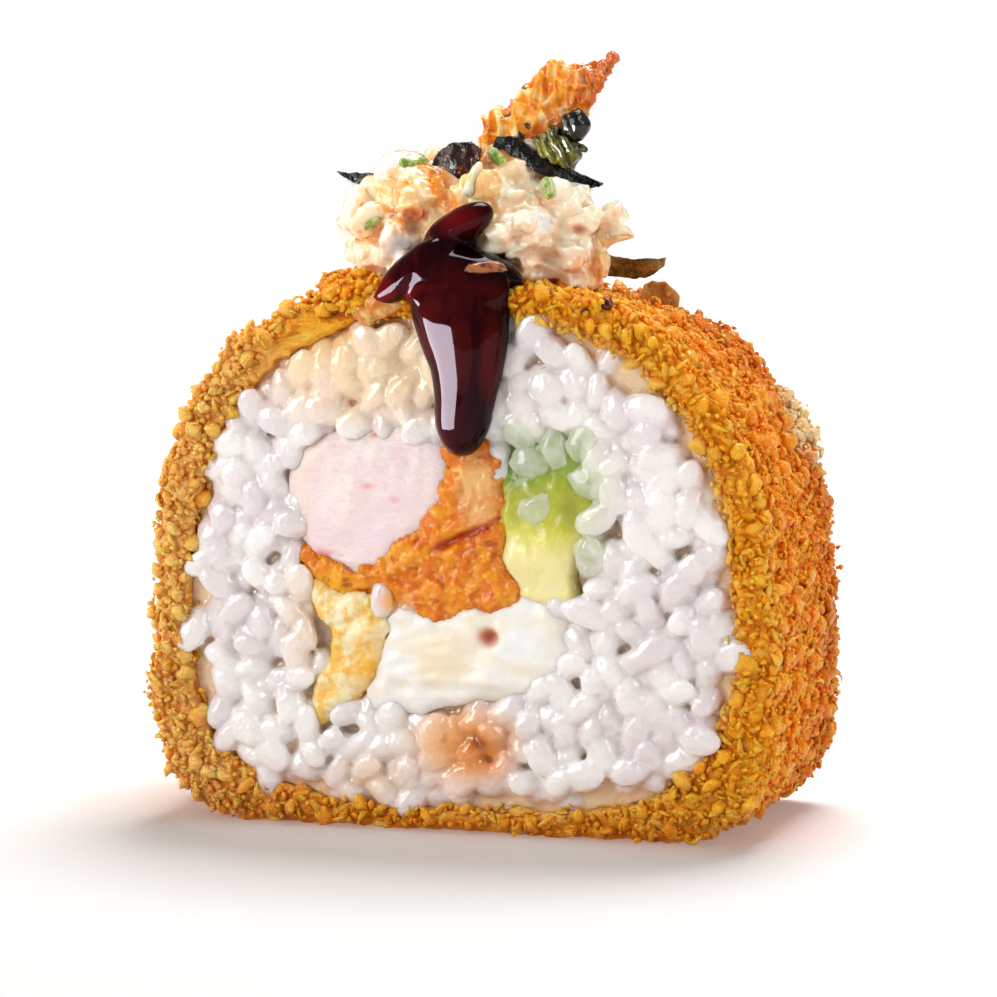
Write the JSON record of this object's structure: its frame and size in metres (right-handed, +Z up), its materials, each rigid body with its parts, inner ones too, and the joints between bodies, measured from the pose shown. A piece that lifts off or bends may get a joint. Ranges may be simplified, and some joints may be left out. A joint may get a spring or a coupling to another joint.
{
  "type": "crumbed fried sushi roll slice with seafood salad topping",
  "caption": "Thick slice of breadcrumbed fried sushi roll standing on its crust, with rice, prawn and avocado inside and seafood salad and dark sauce on top.",
  "frame": {"origin": "middle of the flat that the crust stands on", "axes": "+Z up; -Y towards the front cut face; +X to the right seen from that face"},
  "size_m": [0.0646, 0.0314, 0.0758],
  "materials": {
    "crust": "rough fried breadcrumbs, golden to brown",
    "rice": "moist translucent white grains",
    "prawn": "moist pinkish white flesh",
    "prawn_batter": "soaked golden batter",
    "egg": "porous yellow",
    "cream_cheese": "soft, smooth and creamy",
    "avocado": "soft, green fading to pale yellow",
    "salad": "glossy creamy dressing over chunks",
    "sauce": "very glossy thick dark red sauce",
    "crisp": "golden translucent blistered crisp",
    "nori": "oily near-black",
    "brown_seaweed": "oily brown-green",
    "green_seaweed": "oily olive, pleated"
  },
  "bodies": {
    "root": {"crust": "crust", "rice": "rice", "prawn": "prawn", "prawn_batter": "prawn_batter", "egg_strip": "egg", "cream_cheese": "cream_cheese", "avocado": "avocado", "salad": "salad", "sauce": "sauce", "crisp_flake": "crisp", "nori_long": "nori", "nori_glazed": "nori", "nori_left": "nori", "nori_right": "brown_seaweed", "nori_chip": "brown_seaweed", "seaweed_curl_dark": "nori", "seaweed_curl_green": "green_seaweed"}
  },
  "joints": []
}
